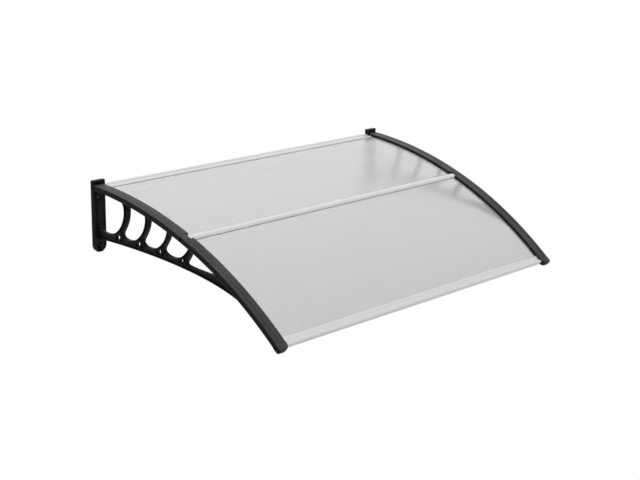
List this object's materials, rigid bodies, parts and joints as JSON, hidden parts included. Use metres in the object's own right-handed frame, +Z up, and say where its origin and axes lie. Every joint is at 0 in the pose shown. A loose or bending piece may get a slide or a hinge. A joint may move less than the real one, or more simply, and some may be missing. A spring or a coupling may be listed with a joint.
{
  "type": "window awning",
  "caption": "Arched window awning: black lattice brackets with wall plates carry a bent translucent sheet roof, held by clamp strips and light extruded rails; fixes flat to a wall.",
  "frame": {"origin": "on the wall plane, in the middle of the rear rail's back face, at the height of the middle of the sheet", "axes": "+X to the right for someone facing the wall, +Y into the wall, +Z up; the roof runs out along -Y and falls"},
  "size_m": [1.2, 0.7242, 0.3376],
  "materials": {
    "bracket_plastic": "satin moulded black",
    "clamp_plastic": "satin moulded black",
    "roof_sheet": "frosted translucent light grey",
    "rail_aluminium": "satin anodised",
    "screw_steel": "zinc plated"
  },
  "bodies": {
    "root": {"left_bracket": "bracket_plastic", "left_rear_clamp": "clamp_plastic", "left_rear_clamp_screw_1": "screw_steel", "left_rear_clamp_screw_2": "screw_steel", "left_rear_clamp_screw_3": "screw_steel", "left_front_clamp": "clamp_plastic", "left_front_clamp_screw_1": "screw_steel", "left_front_clamp_screw_2": "screw_steel", "left_front_clamp_screw_3": "screw_steel", "left_rear_rail_screw": "screw_steel", "left_middle_rail_screw": "screw_steel", "left_front_rail_screw": "screw_steel", "right_bracket": "bracket_plastic", "right_rear_clamp": "clamp_plastic", "right_rear_clamp_screw_1": "screw_steel", "right_rear_clamp_screw_2": "screw_steel", "right_rear_clamp_screw_3": "screw_steel", "right_front_clamp": "clamp_plastic", "right_front_clamp_screw_1": "screw_steel", "right_front_clamp_screw_2": "screw_steel", "right_front_clamp_screw_3": "screw_steel", "right_rear_rail_screw": "screw_steel", "right_middle_rail_screw": "screw_steel", "right_front_rail_screw": "screw_steel", "rear_panel": "roof_sheet", "front_panel": "roof_sheet", "rear_rail": "rail_aluminium", "middle_rail": "rail_aluminium", "front_rail": "rail_aluminium"}
  },
  "joints": []
}
